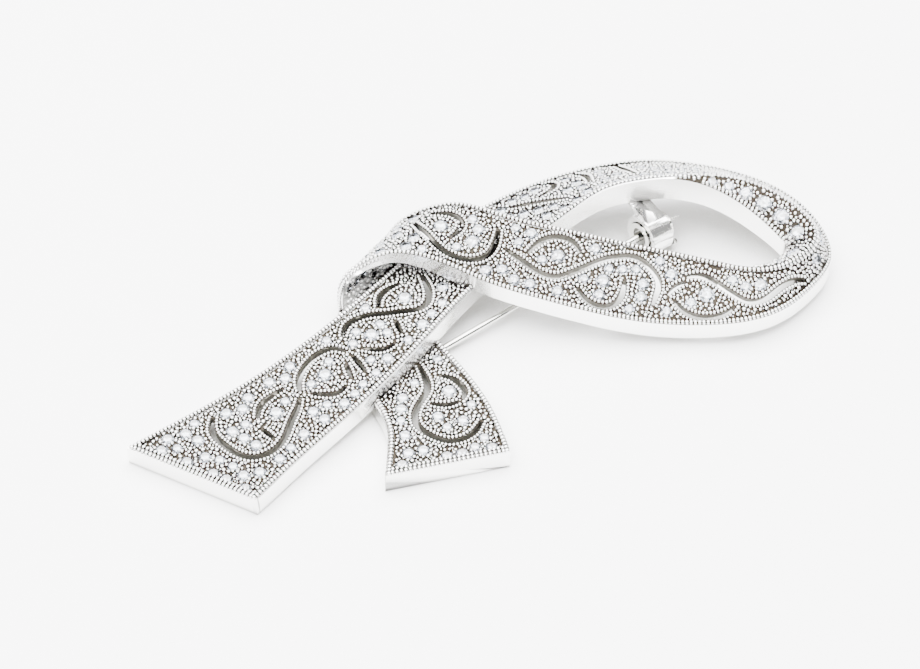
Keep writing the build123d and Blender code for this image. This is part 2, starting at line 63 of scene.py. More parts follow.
for thing in list(bpy.context.selected_objects):
    thing.select_set(False)
bpy.ops.mesh.primitive_plane_add(size=3.0, location=(0, 0, PAPER_LEVEL))
floor = bpy.context.object
floor.name = "floor"
floor_paint = bpy.data.materials.new("floor_paper")
floor_paint.use_nodes = True
floor_shader = floor_paint.node_tree.nodes["Principled BSDF"]
floor_shader.inputs["Roughness"].default_value = 0.85
floor_shader.inputs["Specular IOR Level"].default_value = 0.1
# Painted shade: the paper's colour turns grey where the brooch stands close over it
floor_open = floor_paint.node_tree.nodes.new("ShaderNodeAmbientOcclusion")
floor_open.samples = 8
floor_open.inputs["Distance"].default_value = SHADE_REACH
floor_range = floor_paint.node_tree.nodes.new("ShaderNodeMapRange")
floor_range.interpolation_type = "SMOOTHSTEP"
floor_range.inputs["From Min"].default_value = 0.03
floor_range.inputs["From Max"].default_value = 0.28
floor_mix = floor_paint.node_tree.nodes.new("ShaderNodeMix")
floor_mix.data_type = "RGBA"
floor_mix.inputs[6].default_value = SHADED_PAPER
floor_mix.inputs[7].default_value = PAPER
floor_links = floor_paint.node_tree.links
floor_links.new(floor_open.outputs["AO"], floor_range.inputs["Value"])
floor_links.new(floor_range.outputs["Result"], floor_mix.inputs["Factor"])
floor_links.new(floor_mix.outputs[2], floor_shader.inputs["Base Color"])
floor.data.materials.append(floor_paint)

sky = bpy.data.worlds.new("studio")
bpy.context.scene.world = sky
sky.use_nodes = True
sky.node_tree.nodes["Background"].inputs["Color"].default_value = (1.0, 1.0, 1.0, 1)
sky.node_tree.nodes["Background"].inputs["Strength"].default_value = 0.30


def soft_box(name, place, size, power):
    """A square of even light, turned to the brooch."""
    lamp = bpy.data.lights.new(name, "AREA")
    lamp.shape = "RECTANGLE"
    lamp.size = size[0]
    lamp.size_y = size[1]
    lamp.energy = power
    box = bpy.data.objects.new(name, lamp)
    bpy.context.scene.collection.objects.link(box)
    box.location = place
    box.rotation_euler = (LOOK_AT - Vector(place)).to_track_quat("-Z", "Y").to_euler()


soft_box("overhead", (-0.05, 0.08, 0.50), (0.95, 0.75), 40.0)
soft_box("front", (0.0, -0.60, 0.22), (0.60, 0.16), 7.0)

# Ribbon
# The body of the brooch: one white-gold casting, its plate pierced with scrolls and drilled for
# the stones, its walls and hollow back polished, and the recesses of the setting painted dark:
# oxide with painted shade.
RIBBON = 8.0            # width where the strands cross, in millimetres as all sizes here
WALL = 1.9              # height of the walls
RIM = 0.50              # width of the raised rim along each edge
LIP = 0.16              # height of the rim above the paved field
PLATE = 0.85            # thickness of the plate
EDGE_BEVEL = 0.12       # narrowest slope between top rim and inner wall
BAND_SLOPE = math.radians(35)
SHIFT = np.array([-2.77, 1.24, 0.062])
# Stations along the ribbon: the middle of the top face and the width, as shares of RIBBON, bank
# and skew in degrees, the walls as shares of WALL and the band of stones as a share of RIBBON
# x, y, z, width, bank, skew, inner_wall, outer_wall, band
STRIP = [
    (-3.00, -2.44, 0.25, 1.68, 0, 20, 1.05, 1.05, 0.00),
    (-2.33, -1.83, 0.29, 1.36, 0, 9, 1.00, 1.00, 0.00),
    (-1.70, -1.24, 0.36, 1.20, 0, 4, 1.00, 1.00, 0.00),
    (-1.09, -0.60, 0.46, 1.09, 0, 0, 1.00, 1.00, 0.00),
    (-0.50, 0.18, 0.51, 1.00, 2, 0, 1.00, 0.95, 0.00),
    (0.12, 0.95, 0.51, 0.98, 6, 0, 1.00, 0.95, 0.00),
    (0.85, 1.53, 0.61, 0.96, 14, 0, 1.05, 0.95, 0.00),
    (1.53, 1.93, 0.69, 0.93, 25, 0, 1.25, 0.95, 0.00),
    (2.20, 2.08, 0.74, 0.87, 27, 0, 1.35, 0.95, 0.00),
    (2.85, 2.10, 0.72, 0.94, 33, 0, 1.35, 0.90, 0.08),
    (3.63, 1.88, 0.69, 0.80, 40, 0, 1.25, 0.85, 0.29),
    (4.17, 1.42, 0.59, 0.59, 50, 0, 1.10, 0.80, 0.39),
    (4.32, 0.98, 0.51, 0.44, 60, 0, 1.05, 0.80, 0.40),
    (4.03, 0.54, 0.46, 0.43, 43, 0, 1.05, 0.85, 0.26),
    (3.48, 0.23, 0.47, 0.65, 25, 0, 1.05, 0.85, 0.02),
    (2.71, 0.24, 0.49, 0.88, 24, 0, 1.05, 0.90, 0.00),
    (2.00, 0.34, 0.54, 1.03, 16, 0, 1.05, 0.90, 0.00),
    (1.26, 0.48, 0.64, 1.05, 13, 0, 1.05, 0.90, 0.00),
    (0.40, 0.68, 0.78, 1.01, 9, -4, 1.05, 0.90, 0.00),
    (-0.09, 0.86, 0.85, 1.01, 3, -4, 1.00, 0.85, 0.00),
    (-0.44, 0.94, 0.84, 1.03, 0, -12, 0.95, 0.60, 0.00),
    (-0.81, 0.91, 0.73, 1.05, 0, -14, 0.80, 0.42, 0.00),
    (-1.09, 0.80, 0.53, 1.08, 0, -14, 0.70, 0.32, 0.00),
    (-1.14, 0.70, 0.30, 1.08, 0, -14, 0.70, 0.30, 0.00),
    (-1.11, 0.64, 0.05, 1.08, 0, -14, 0.70, 0.30, 0.00),
]
TAIL = [
    (-1.08, 0.66, 0.20, 1.12, 0, 41, 0.70, 0.70, 0.00),
    (-0.99, 0.20, 0.21, 1.02, 0, 20, 0.75, 0.75, 0.00),
    (-0.86, -0.30, 0.24, 1.05, 0, 2, 0.80, 0.80, 0.00),
    (-0.53, -0.95, 0.25, 1.13, 0, 0, 0.95, 0.95, 0.00),
    (-0.24, -1.58, 0.255, 1.23, 0, 6, 1.02, 1.02, 0.00),
    (-0.13, -2.29, 0.25, 1.44, 0, 10, 1.04, 1.04, 0.00),
]
CURL_AT = 19
CURL_HEADING = 160.0


class Strip:
    """A length of ribbon given by stations; gives places and directions on its face."""

    def __init__(self, table, curl_at=None):
        scale = np.array([RIBBON, RIBBON, RIBBON, RIBBON, 1, 1, WALL, WALL, RIBBON])
        self.rows = np.array(table, float) * scale
        self.rows[:, :3] += SHIFT
        steps = np.linalg.norm(np.diff(self.rows[:, :3], axis=0), axis=1)
        self.knots = np.concatenate([[0], np.cumsum(steps)])
        self.curl_at = curl_at
        self.bend = self.second(self.knots, self.rows)

    @staticmethod
    def second(knots, rows):
        """Second derivatives of the natural spline through the rows."""
        n = len(knots)
        h = np.diff(knots)
        a = np.eye(n)
        b = np.zeros((n, rows.shape[1]))
        for i in range(1, n - 1):
            a[i, i - 1:i + 2] = h[i - 1], 2 * (h[i - 1] + h[i]), h[i]
            b[i] = 6 * ((rows[i + 1] - rows[i]) / h[i] - (rows[i] - rows[i - 1]) / h[i - 1])
        return np.linalg.solve(a, b)

    @staticmethod
    def between(knots, rows, bend, where):
        """Value and slope of the spline at one place."""
        k = min(max(int(np.searchsorted(knots, where, side="right")) - 1, 0), len(knots) - 2)
        h = knots[k + 1] - knots[k]
        d = where - knots[k]
        c1 = (rows[k + 1] - rows[k]) / h - h * (2 * bend[k] + bend[k + 1]) / 6
        c3 = (bend[k + 1] - bend[k]) / (6 * h)
        value = rows[k] + c1 * d + bend[k] / 2 * d ** 2 + c3 * d ** 3
        return value, c1 + bend[k] * d + 3 * c3 * d ** 2

    def length_at(self, station):
        return float(np.interp(station, np.arange(len(self.knots)), self.knots))

    def station_at(self, length):
        return float(np.interp(length, self.knots, np.arange(len(self.knots))))

    def at(self, station):
        """The row at a station, the level way out to the inner edge, the way up from the travel,
        and the ways across and out of the banked face."""
        row, slope = self.between(self.knots, self.rows, self.bend, self.length_at(station))
        travel = slope[:3] / np.linalg.norm(slope[:3])
        heading = math.degrees(math.atan2(travel[1], travel[0]))
        if self.curl_at is not None and station > self.curl_at:
            heading = CURL_HEADING
        turn = math.radians(heading - 90 + row[5])
        right = np.array([math.cos(turn), math.sin(turn), 0.0])
        up = np.cross(right, travel)
        up /= np.linalg.norm(up)
        bank = math.radians(row[4])
        across = math.cos(bank) * right + math.sin(bank) * up
        normal = -math.sin(bank) * right + math.cos(bank) * up
        return row, right, up, across, normal

    def point(self, station, place):
        """A place on the paved field, from -1 at the outer edge to 1 at the inner one."""
        row, right, up, across, normal = self.at(station)
        return row[:3] + place * row[3] / 2 * across - LIP * normal

    def edge(self, station, name, inset=0.0, lift=0.0):
        """A point along one of the edges, set in from it, with the way out of the metal there."""
        row, right, up, across, normal = self.at(station)
        half = row[3] / 2
        if name == "outer":
            return row[:3] - (half - inset) * across + lift * normal, normal
        if name == "inner":
            return row[:3] + (half - inset) * across + lift * normal, normal
        way, out = band_ways(right, up)
        band = max(row[8], EDGE_BEVEL)
        return row[:3] + half * across + (band - inset) * way + lift * out, out


def band_ways(right, up):
    """The way down the slope inside the inner edge, and the way out of it."""
    way = math.cos(BAND_SLOPE) * right - math.sin(BAND_SLOPE) * up
    out = math.sin(BAND_SLOPE) * right + math.cos(BAND_SLOPE) * up
    return way, out


strip = Strip(STRIP, CURL_AT)
tail = Strip(TAIL)

# Painted shade and dark oxide in the recesses, mixed in by how deep a spot sits among its
# neighbours
recess = bpy.data.node_groups.new("recess", "ShaderNodeTree")
recess.interface.new_socket("Reach", in_out="INPUT", socket_type="NodeSocketFloat")
recess.interface.new_socket("Strength", in_out="INPUT", socket_type="NodeSocketFloat")
recess.interface.new_socket("Metal", in_out="INPUT", socket_type="NodeSocketColor")
recess.interface.new_socket("Oxide_and_shade", in_out="INPUT", socket_type="NodeSocketColor")
recess.interface.new_socket("Color", in_out="OUTPUT", socket_type="NodeSocketColor")
recess_in = recess.nodes.new("NodeGroupInput")
recess_out = recess.nodes.new("NodeGroupOutput")
shade = recess.nodes.new("ShaderNodeAmbientOcclusion")
shade.samples = 8
shade_curve = recess.nodes.new("ShaderNodeMath")
shade_curve.operation = "POWER"
shade_mix = recess.nodes.new("ShaderNodeMix")
shade_mix.data_type = "RGBA"
recess.links.new(recess_in.outputs["Reach"], shade.inputs["Distance"])
recess.links.new(shade.outputs["AO"], shade_curve.inputs[0])
recess.links.new(recess_in.outputs["Strength"], shade_curve.inputs[1])
recess.links.new(shade_curve.outputs[0], shade_mix.inputs["Factor"])
recess.links.new(recess_in.outputs["Oxide_and_shade"], shade_mix.inputs[6])
recess.links.new(recess_in.outputs["Metal"], shade_mix.inputs[7])
recess.links.new(shade_mix.outputs[2], recess_out.inputs["Color"])
OXIDE_AND_SHADE = (0.035, 0.028, 0.02, 1)


def metal(name, tone, roughness, reach, strength):
    """White gold of one tone and polish, painted darker where others stand nearer than reach: oxide
    with painted shade.
    """
    paint = bpy.data.materials.new(name)
    paint.use_nodes = True
    tree = paint.node_tree
    shader = tree.nodes["Principled BSDF"]
    shader.inputs["Metallic"].default_value = 1.0
    shader.inputs["Roughness"].default_value = roughness
    group = tree.nodes.new("ShaderNodeGroup")
    group.node_tree = recess
    group.inputs["Reach"].default_value = reach * MM
    group.inputs["Strength"].default_value = strength
    group.inputs["Metal"].default_value = tone
    group.inputs["Oxide_and_shade"].default_value = OXIDE_AND_SHADE
    tree.links.new(group.outputs["Color"], shader.inputs["Base Color"])
    return paint


# The polished body, with painted shade and oxide in its recesses
rhodium = metal("rhodium_polish", (0.93, 0.925, 0.91, 1), 0.24, 0.5, 1.6)
WELD = 0.002 * MM
SMOOTH_BELOW = math.radians(32)


def merged_copy(node):
    """A copy of a CAD node whose loose triangles share their corners, left selected."""
    piece = nodes[node].copy()
    piece.data = nodes[node].data.copy()
    bpy.context.scene.collection.objects.link(piece)
    bpy.context.view_layer.objects.active = piece
    piece.select_set(True)
    bpy.ops.object.mode_set(mode="EDIT")
    bpy.ops.mesh.select_all(action="SELECT")
    bpy.ops.mesh.remove_doubles(threshold=WELD)
    bpy.ops.object.mode_set(mode="OBJECT")
    return piece


def cast_copy(name, node, paint, carrier):
    """A merged copy of a CAD node with soft shading over its curved faces, in its place."""
    piece = merged_copy(node)
    piece.name = name
    bpy.ops.object.shade_smooth_by_angle(angle=SMOOTH_BELOW)
    piece.select_set(False)
    piece.data.materials.clear()
    piece.data.materials.append(paint)
    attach(piece, carrier)
    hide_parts(node)
    return piece


body = cast_copy("ribbon_body", "ribbon", rhodium, "brooch")


def face_lines(table_strip, last, count):
    """Middle points and face directions of each long face of the strip, station by station."""
    rows = []
    for k in np.linspace(0, last, count):
        row, right, up, across, normal = table_strip.at(k)
        half = row[3] / 2
        inner = row[:3] + half * across
        outer = row[:3] - half * across
        foot = inner + max(row[8], EDGE_BEVEL) * band_ways(right, up)[0]
        rows.append([outer, inner, foot, foot - row[6] * up, outer - row[7] * up])
    rows = np.array(rows)
    along = np.gradient(rows, axis=0)
    pairs = [(0, 1), (1, 2), (2, 3), (4, 0)]
    spots = []
    ways = []
    for a, b in pairs:
        for share in (0.0, 0.5, 1.0):
            spot = rows[:, a] * (1 - share) + rows[:, b] * share
            way = np.cross(rows[:, b] - rows[:, a], along[:, a] * (1 - share) + along[:, b] * share)
            way /= np.linalg.norm(way, axis=1)[:, None]
            spots.append(spot)
            ways.append(way)
    return np.concatenate(spots), np.concatenate(ways)


GUIDE_REACH = 3.4 * MM
GUIDES_TRIED = 14
GUIDE_FITS = 0.90


def soften(piece, guides):
    """Gives the long faces of the strip the true direction of the swept surface."""
    mesh = piece.data
    mesh.calc_loop_triangles()
    spots = np.concatenate([g[0] for g in guides]) * MM
    ways = np.concatenate([g[1] for g in guides])
    tree = KDTree(len(spots))
    for i, spot in enumerate(spots):
        tree.insert(spot, i)
    tree.balance()
    loops = np.zeros(len(mesh.loops) * 3)
    mesh.corner_normals.foreach_get("vector", loops)
    loops = loops.reshape(-1, 3)
    near = {}
    for poly in mesh.polygons:
        flat = np.array(poly.normal)
        for loop in poly.loop_indices:
            vertex = mesh.loops[loop].vertex_index
            if vertex not in near:
                found = tree.find_n(mesh.vertices[vertex].co, GUIDES_TRIED)
                near[vertex] = [i for _, i, far in found if far < GUIDE_REACH]
            found = near[vertex]
            if not found:
                continue
            fits = ways[found] @ flat
            best = int(np.argmax(fits))
            if fits[best] > GUIDE_FITS:
                loops[loop] = ways[found[best]]
    mesh.normals_split_custom_set([tuple(v) for v in loops])


soften(body, [face_lines(strip, 24, 480), face_lines(tail, 5, 160)])


# The field, the band and the rims are painted near black between their grains, oxide with painted
# shade, the seats are painted dark as shade and the hollow of the fold is satin; marks laid over
# the surface tell which facet belongs to which
FIELD, BAND, HOLLOW, RIMS = range(4)
BAND_LEAST = 0.3
HOLLOW_FROM = 21.0


def field_marks(table_strip, last, count):
    """Places on the sunk field, the band, the hollow of the fold and the rims, with the way out."""
    marks = []
    for k in np.linspace(0, last, count):
        row, right, up, across, normal = table_strip.at(k)
        half = row[3] / 2
        for t in np.linspace(-1, 1, 33):
            spot = row[:3] + t * (half - RIM + 0.05) * across - LIP * normal
            marks.append((spot, normal, FIELD))
        for inset in (0.10, 0.22, 0.34, 0.46):
            marks.append((row[:3] - (half - inset) * across, normal, RIMS))
            marks.append((row[:3] + (half - inset) * across, normal, RIMS))
        if row[8] > BAND_LEAST:
            way, out = band_ways(right, up)
            for t in np.linspace(0.04, 0.96, 9):
                marks.append((row[:3] + half * across + t * row[8] * way, out, BAND))
        if table_strip is strip and k > HOLLOW_FROM:
            for t in np.linspace(-1, 1, 33):
                spot = row[:3] + t * half * across - hollow_depth(row) * normal
                marks.append((spot, -normal, HOLLOW))
    return marks


def hollow_depth(row):
    return min(PLATE, 0.92 * row[7])


# The field's near-black colour is oxide with painted shade among the grains
body.data.materials.append(metal("field_shade_and_oxide", (0.022, 0.020, 0.017, 1), 0.45, 0.35, 2.0))
# The seats are painted near black: painted shade in the drilled holes under the stones
body.data.materials.append(metal("seat_shade", (0.02, 0.018, 0.016, 1), 0.35, 0.4, 1.0))
body.data.materials.append(metal("fold_satin", (0.90, 0.895, 0.88, 1), 0.45, 0.3, 0.7))
FIELD_SHADE_AND_OXIDE, SEAT_SHADE, FOLD_SATIN, SAW_CUT_SHADE = 1, 2, 3, 4
MARK_REACH = 0.9 * MM
MARK_LEVEL = 0.06
MARK_FITS = 0.93
SEAT_DEEP = 0.7
SEAT_ASIDE = 0.3
field = field_marks(strip, 24, 420) + field_marks(tail, 5, 120)
field_tree = KDTree(len(field))
for i, (spot, way, kind) in enumerate(field):
    field_tree.insert(spot * MM, i)
field_tree.balance()
for poly in body.data.polygons:
    for _, i, far in field_tree.find_n(poly.center, 4):
        spot, way, kind = field[i]
        apart = np.array(poly.center) / MM - spot
        level = np.dot(apart, way)
        aside = np.linalg.norm(apart - level * way)
        tilt = np.dot(poly.normal, way)
        if far < MARK_REACH and abs(level) < MARK_LEVEL and tilt > MARK_FITS:
            poly.material_index = FOLD_SATIN if kind == HOLLOW else FIELD_SHADE_AND_OXIDE
            break
        if kind == FIELD and -SEAT_DEEP < level < 0.0 and 0.3 < tilt < 0.9 and aside < SEAT_ASIDE:
            poly.material_index = SEAT_SHADE
            break

# Milgrain
# The beaded thread a jeweller rolls along every edge with a knurled wheel, so that the
# polished walls end in a row of tiny touching grains; it is cut in the metal of the casting.
def round_blank(segments, rings):
    """Corners and faces of a small ball one millimetre across, to be pressed to shape."""
    bpy.ops.mesh.primitive_uv_sphere_add(segments=segments, ring_count=rings, radius=0.5)
    blank = bpy.context.object
    points = np.array([v.co for v in blank.data.vertices])
    faces = [tuple(p.vertices) for p in blank.data.polygons]
    bpy.data.objects.remove(blank)
    return points, faces


bead_points, bead_faces = round_blank(8, 5)


def joined(name, spots, points, faces, paint, smooth=True):
    """One mesh from copies of a small shape; each spot is its place, the way out of the metal,
    the way it runs and its three sizes."""
    verts = []
    polys = []
    for spot, way, run, sizes in spots:
        run = run - np.dot(run, way) * way
        run = run / np.linalg.norm(run)
        turn = np.array([run, np.cross(way, run), way])
        turned = (points * np.array(sizes)) @ turn + spot
        start = len(verts) * len(points)
        verts.append(turned)
        polys += [tuple(start + i for i in face) for face in faces]
    mesh = bpy.data.meshes.new(name)
    mesh.from_pydata((np.concatenate(verts) * MM).tolist(), [], polys)
    mesh.materials.append(paint)
    if smooth:
        mesh.shade_smooth()
    piece = bpy.data.objects.new(name, mesh)
    bpy.context.scene.collection.objects.link(piece)
    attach(piece, "brooch")
    return piece


def paced(points, pitch):
    """Places at an even pitch along a run of points, as shares of the run from 0 to 1."""
    points = np.array(points)
    far = np.concatenate([[0], np.cumsum(np.linalg.norm(np.diff(points, axis=0), axis=1))])
    count = max(2, int(round(far[-1] / pitch)) + 1)
    wanted = np.linspace(0, far[-1], count)
    return np.interp(wanted, far, np.linspace(0, 1, len(points)))


ROOF_INSET = 1.7


def roof(first, last):
    """Outline, seen from above, of what lies well under a length of the strip."""
    marks = np.linspace(first, last, 60)
    left = [strip.edge(k, "outer", ROOF_INSET)[0][:2] for k in marks]
    right = [strip.edge(k, "inner", ROOF_INSET)[0][:2] for k in marks]
    return np.array(left + right[::-1])


def under(spot, outline):
    """Whether a spot lies inside an outline, seen from above."""
    x, y = spot[:2]
    ahead = np.roll(outline, -1, axis=0)
    spans = (outline[:, 1] > y) != (ahead[:, 1] > y)
    rise = np.where(spans, ahead[:, 1] - outline[:, 1], 1.0)
    cross = outline[:, 0] + (y - outline[:, 1]) / rise * (ahead[:, 0] - outline[:, 0])
    return bool(np.sum(spans & (cross > x)) % 2)


cover_knot = roof(16.8, 21.6)
cover_tail = roof(0.0, 6.0)
EDGE_BEAD = (0.42, 0.54, 0.42)
EDGE_PITCH = 0.40
EDGE_INSET = 0.27
EDGE_LIFT = 0.03
RIDGE_MORE = 0.38       # how much wider the thread is on the ridge of the turn
CORNER_CLEAR = 0.6
FOLD_BEAD = (0.40, 0.44, 0.34)
edge_spots = []
for table_strip, name, first, last in (
        (strip, "outer", 0.03, 24.0), (strip, "inner", 0.03, 24.0), (strip, "foot", 9.15, 13.85),
        (tail, "outer", 0.4, 4.97), (tail, "inner", 0.4, 4.97)):
    run = [table_strip.edge(k, name)[0] for k in np.linspace(first, last, 700)]
    for share in paced(run, EDGE_PITCH):
        k = first + (last - first) * share
        wide = EDGE_BEAD[1]
        if name == "inner" and table_strip is strip:
            wide += RIDGE_MORE * max(0.0, min(1.0, (k - 9.6) / 1.2, (13.6 - k) / 0.8))
        spot, way = table_strip.edge(k, name, EDGE_INSET, EDGE_LIFT)
        ahead = table_strip.edge(min(k + 0.05, last), name)[0] - table_strip.edge(k - 0.05, name)[0]
        if table_strip is tail and under(spot, cover_tail):
            continue
        if table_strip is strip and k < 8 and under(spot, cover_knot):
            continue
        if name == "foot" and table_strip.at(k)[0][8] < BAND_LEAST:
            continue
        edge_spots.append((spot, way, ahead, (EDGE_BEAD[0], wide, EDGE_BEAD[2])))
for table_strip, k in ((strip, 0.035), (strip, 0.092), (tail, 4.965), (tail, 4.90)):
    row, right, up, across, normal = table_strip.at(k)
    half = row[3] / 2 - CORNER_CLEAR
    count = int(2 * half / EDGE_PITCH)
    for i in range(count + 1):
        spot = row[:3] + (-half + 2 * half * i / count) * across + EDGE_LIFT * normal
        edge_spots.append((spot, normal, across, EDGE_BEAD))
for k in np.linspace(20.7, 23.9, 26):
    row, right, up, across, normal = strip.at(k)
    spot = row[:3] - (row[3] / 2 - 0.02) * across - 0.24 * up
    edge_spots.append((spot, -across, up, FOLD_BEAD))
# Bright bead metal with strong painted shade between the beads
beaded = metal("milgrain_bright", (0.96, 0.955, 0.945, 1), 0.12, 0.45, 3.2)
edge_beads = joined("milgrain_edges", edge_spots, bead_points, bead_faces, beaded)

# Scrolls
# The pierced scrolls are sawn through the plate with a blade, the walls of the cut painted dark as
# painted shade, and a beaded thread follows both their sides. Each is a row of places: station,
# then place across.
STRIP_SLOTS = [
    [(0.88, -0.70), (0.70, -0.44), (0.62, -0.10), (0.60, 0.15), (0.65, 0.38), (0.78, 0.50),
     (1.00, 0.54), (1.23, 0.45), (1.46, 0.28), (1.66, 0.14), (1.78, 0.02)],
    [(1.77, -0.40), (1.57, -0.42), (1.36, -0.35), (1.22, -0.20)],
    [(1.10, 0.08), (1.08, 0.33)],
    [(1.90, -0.14), (2.00, -0.32), (2.20, -0.50), (2.38, -0.57), (2.52, -0.56), (2.67, -0.45),
     (2.74, -0.20)],
    [(2.74, 0.02), (2.72, 0.15), (2.66, 0.46)],
    [(1.96, 0.10), (2.08, 0.33), (2.18, 0.45), (2.32, 0.45)],
    [(2.58, 0.08), (2.48, 0.36)],
    [(2.92, -0.52), (3.09, -0.66), (3.26, -0.60), (3.41, -0.42), (3.52, -0.19), (3.64, 0.03),
     (3.75, 0.26), (3.88, 0.38), (4.02, 0.30), (4.17, 0.04), (4.28, -0.28)],
    [(3.56, -0.48), (3.67, -0.62), (3.84, -0.66), (4.00, -0.56)],
    [(2.92, 0.05), (2.99, 0.25), (3.08, 0.43), (3.20, 0.50)],
    [(3.49, 0.10), (3.38, 0.42)],
    [(5.86, -0.45), (6.06, -0.24), (6.31, 0.05), (6.54, 0.41)],
    [(6.50, -0.78), (6.60, -0.70), (6.59, -0.48), (6.45, -0.34), (6.30, -0.31)],
    [(6.97, -0.78), (7.05, -0.60), (7.06, -0.03)],
    [(7.64, -0.72), (7.84, 0.10)],
    [(8.30, -0.70), (8.64, -0.74)],
    [(9.20, -0.40), (9.50, 0.15), (9.95, 0.35), (10.40, 0.15), (10.80, -0.25), (11.15, -0.30)],
    [(12.98, -0.40), (13.10, -0.16), (13.30, -0.03), (13.54, -0.10), (13.77, -0.26),
     (13.97, -0.34), (14.19, -0.25), (14.35, -0.02), (14.52, 0.20), (14.70, 0.40),
     (14.89, 0.47), (15.09, 0.37)],
    [(14.37, -0.46), (14.50, -0.66), (14.67, -0.76), (14.89, -0.73), (15.09, -0.58),
     (15.24, -0.33)],
    [(15.36, -0.18), (15.26, 0.04), (15.11, 0.22)],
    [(17.84, 0.05), (17.56, -0.15), (17.33, -0.30), (17.10, -0.30), (16.93, -0.12),
     (16.74, 0.12), (16.48, 0.43), (16.21, 0.62), (15.93, 0.65), (15.78, 0.53), (15.62, 0.33),
     (15.53, 0.05), (15.55, -0.27), (15.58, -0.50)],
    [(17.55, 0.14), (17.47, 0.43), (17.33, 0.68), (17.16, 0.76), (16.98, 0.68), (16.86, 0.47)],
    [(16.76, -0.47), (16.60, -0.70), (16.39, -0.78), (16.21, -0.70), (16.09, -0.38),
     (16.09, 0.00)],
    [(20.50, 0.30), (20.10, 0.02), (19.58, -0.30), (18.99, -0.60), (18.60, -0.66),
     (18.29, -0.55), (18.06, -0.30), (18.01, 0.07), (18.10, 0.50)],
    [(20.20, 0.62), (19.76, 0.60), (19.28, 0.55), (18.92, 0.35), (18.89, 0.12), (18.97, -0.15)],
]
TAIL_SLOTS = [
    [(2.80, -0.27), (3.10, -0.20), (3.32, -0.10), (3.49, 0.12), (3.72, 0.38), (4.02, 0.43),
     (4.27, 0.28), (4.42, 0.12), (4.53, -0.07), (4.54, -0.30), (4.46, -0.52), (4.28, -0.72)],
    [(3.15, -0.47), (3.31, -0.66), (3.48, -0.72), (3.69, -0.70), (3.77, -0.60)],
    [(3.66, 0.00), (3.80, -0.28), (3.81, -0.48)],
]
SLOT = 0.56             # width of the cut, which narrows to both ends
SLOT_END = 0.55         # width at the ends as a share of it
SLOT_TAPER = 1.6        # length over which it narrows
SCROLL_WIDE = 0.38      # width of the thread beside the cut
SCROLL_PITCH = 0.36
SCROLL_BEAD = (0.37, 0.40, 0.37)
SCROLL_LIFT = 0.05
LINE_STEP = 0.12
scroll_spots = []
lines = {"strip": [], "tail": []}
cut_ways = []
cut_halves = []
for table_strip, slots, key in ((strip, STRIP_SLOTS, "strip"), (tail, TAIL_SLOTS, "tail")):
    for places in slots:
        marks = np.array([table_strip.point(k, t) for k, t in places])
        ways = np.array([table_strip.at(k)[4] for k, t in places])
        knots = np.concatenate([[0], np.cumsum(np.linalg.norm(np.diff(marks, axis=0), axis=1))])
        bend = Strip.second(knots, marks)
        fine = np.linspace(0, knots[-1], max(6, int(knots[-1] / LINE_STEP)))
        line = []
        sides = ([], [])
        outs = []
        for s in fine:
            spot, slope = Strip.between(knots, marks, bend, s)
            way = np.array([np.interp(s, knots, ways[:, j]) for j in range(3)])
            way /= np.linalg.norm(way)
            aside = np.cross(way, slope)
            aside /= np.linalg.norm(aside)
            share = min(s, knots[-1] - s) / SLOT_TAPER
            cut_half = SLOT / 2 * (SLOT_END + (1 - SLOT_END) * min(1.0, share))
            half = cut_half + SCROLL_WIDE / 2 + 0.01
            line.append(spot)
            sides[0].append(spot + half * aside)
            sides[1].append(spot - half * aside)
            outs.append(way)
            cut_ways.append(way)
            cut_halves.append(cut_half)
        lines[key].append(np.array(line))
        outs = np.array(outs)
        for side in sides:
            side = np.array(side)
            for share in paced(side, SCROLL_PITCH):
                place = share * (len(side) - 1)
                i = int(place)
                j = min(i + 1, len(side) - 1)
                spot = side[i] * (1 - place + i) + side[j] * (place - i)
                clear = min(np.linalg.norm(other - spot, axis=1).min() for other in lines[key])
                if clear < SLOT / 2:
                    continue
                ahead = side[j] - side[max(j - 2, 0)]
                scroll_spots.append((spot + SCROLL_LIFT * outs[i], outs[i], ahead, SCROLL_BEAD))
# The walls of the cuts are painted dark grey: painted shade inside the cut
body.data.materials.append(metal("saw_cut_shade", (0.25, 0.24, 0.21, 1), 0.50, 0.5, 1.0))
CUT_REACH = 0.75 * MM
CUT_LEVELS = (-0.68, -0.02)
CUT_UPRIGHT = 0.35
cuts = np.concatenate(lines["strip"] + lines["tail"])
cut_tree = KDTree(len(cuts))
for i, spot in enumerate(cuts):
    cut_tree.insert(spot * MM, i)
cut_tree.balance()
for poly in body.data.polygons:
    spot, i, far = cut_tree.find(poly.center)
    if poly.material_index != 0 or far > CUT_REACH:
        continue
    way = cut_ways[i]
    level = np.dot(np.array(poly.center) / MM - cuts[i], way)
    if CUT_LEVELS[0] < level < CUT_LEVELS[1] and abs(np.dot(poly.normal, way)) < CUT_UPRIGHT:
        poly.material_index = SAW_CUT_SHADE
scroll_beads = joined("milgrain_scrolls", scroll_spots, bead_points, bead_faces, beaded)

